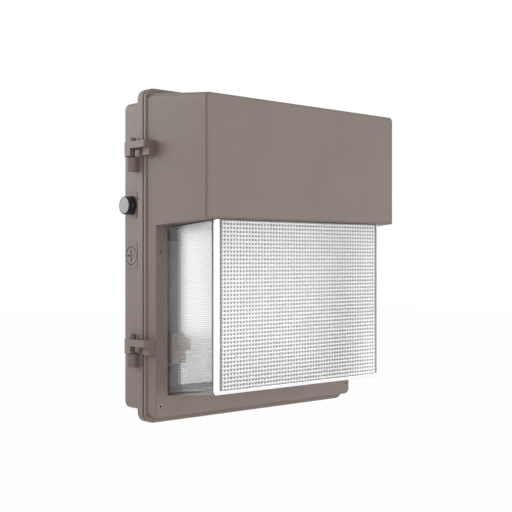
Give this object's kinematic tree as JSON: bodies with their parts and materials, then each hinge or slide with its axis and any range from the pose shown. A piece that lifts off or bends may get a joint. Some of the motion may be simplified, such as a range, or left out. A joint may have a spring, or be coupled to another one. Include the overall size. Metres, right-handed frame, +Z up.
{
  "type": "wall pack light",
  "caption": "Outdoor wall pack light with a cast rear box, a hinged hooded door, a pressed glass refractor and a button photocell on its left side.",
  "frame": {"origin": "middle of the wall face, at the centre of the four wall holes", "axes": "+Z up, +Y into the wall, the light faces -Y, +X to the right seen from the front"},
  "size_m": [0.3757, 0.1663, 0.426],
  "materials": {
    "bronze_casting": "die-cast aluminium under a satin bronze powder coat",
    "bronze_screws": "painted with the castings",
    "gasket_rubber": "matte black silicone",
    "lens_gasket": "matte grey silicone",
    "seal_sponge": "dark grey closed-cell sponge",
    "refractor_glass": "clear pressed glass with a prism pattern",
    "zinc_steel": "zinc plated",
    "spring_steel": "phosphated",
    "black_plastic": "fine texture",
    "photocell_window": "light grey translucent",
    "plate_aluminium": "mill finish",
    "reflector_white": "high reflectance white",
    "led_phosphor": "yellow phosphor",
    "board_white": "white solder mask",
    "driver_case": "brushed, plain",
    "terminal_nylon": "natural nylon",
    "brass": "tin brass",
    "ground_green": "green coated steel",
    "lead_black": "smooth insulation",
    "lead_red": "smooth insulation",
    "lead_green": "smooth insulation"
  },
  "bodies": {
    "housing": {"clamp_screws": "brass", "conduit_plug_left": "bronze_casting", "conduit_plug_right": "bronze_casting", "driver_screws": "zinc_steel", "ground_lead": "lead_green", "ground_ring": "brass", "ground_screw": "ground_green", "heat_plate": "plate_aluminium", "housing_gasket": "gasket_rubber", "lead_grommets": "gasket_rubber", "led_board_1": "board_white", "led_board_2": "board_white", "led_board_3": "board_white", "led_chips": "led_phosphor", "led_driver": "driver_case", "led_leads": "lead_red", "mounting_rail_left": "zinc_steel", "mounting_rail_right": "zinc_steel", "photocell_body": "black_plastic", "photocell_leads": "lead_black", "photocell_lens": "photocell_window", "photocell_locknut": "black_plastic", "photocell_nut": "black_plastic", "photocell_washer": "gasket_rubber", "plate_screws": "zinc_steel", "rail_screws": "zinc_steel", "rear_housing": "bronze_casting", "reflector": "reflector_white", "reflector_bracket_left": "bronze_casting", "reflector_bracket_right": "bronze_casting", "supply_leads": "lead_black", "terminal_block": "terminal_nylon", "terminal_screws": "zinc_steel"},
    "door": {"front_door": "bronze_casting", "refractor_glass": "refractor_glass", "refractor_gasket": "lens_gasket", "top_seal": "seal_sponge", "lens_clips": "zinc_steel", "clip_screws": "zinc_steel", "corner_clips": "zinc_steel", "frame_screws": "bronze_screws", "frame_nuts": "zinc_steel"},
    "pin_upper": {"hinge_pin_upper": "bronze_screws"},
    "closing_upper": {"closing_screw_upper": "bronze_screws", "screw_retainer_upper": "spring_steel"},
    "pin_lower": {"hinge_pin_lower": "bronze_screws"},
    "closing_lower": {"closing_screw_lower": "bronze_screws", "screw_retainer_lower": "spring_steel"}
  },
  "joints": [
    {"name": "door_swing", "type": "hinge", "parent": "housing", "child": "door", "pos_m": [-0.1839, -0.033, 0], "axis": [0, 0, -1], "range_deg": [0, 105]},
    {"name": "pin_upper_lift", "type": "slide", "parent": "housing", "child": "pin_upper", "axis": [0, 0, 1], "range_m": [0, 0.03]},
    {"name": "pin_lower_lift", "type": "slide", "parent": "housing", "child": "pin_lower", "axis": [0, 0, 1], "range_m": [0, 0.03]},
    {"name": "closing_upper_turn", "type": "hinge", "parent": "door", "child": "closing_upper", "pos_m": [0.1704, -0.06, 0.005], "axis": [0, -1, 0], "continuous": true},
    {"name": "closing_lower_turn", "type": "hinge", "parent": "door", "child": "closing_lower", "pos_m": [0.1704, -0.06, -0.1898], "axis": [0, -1, 0], "continuous": true}
  ]
}
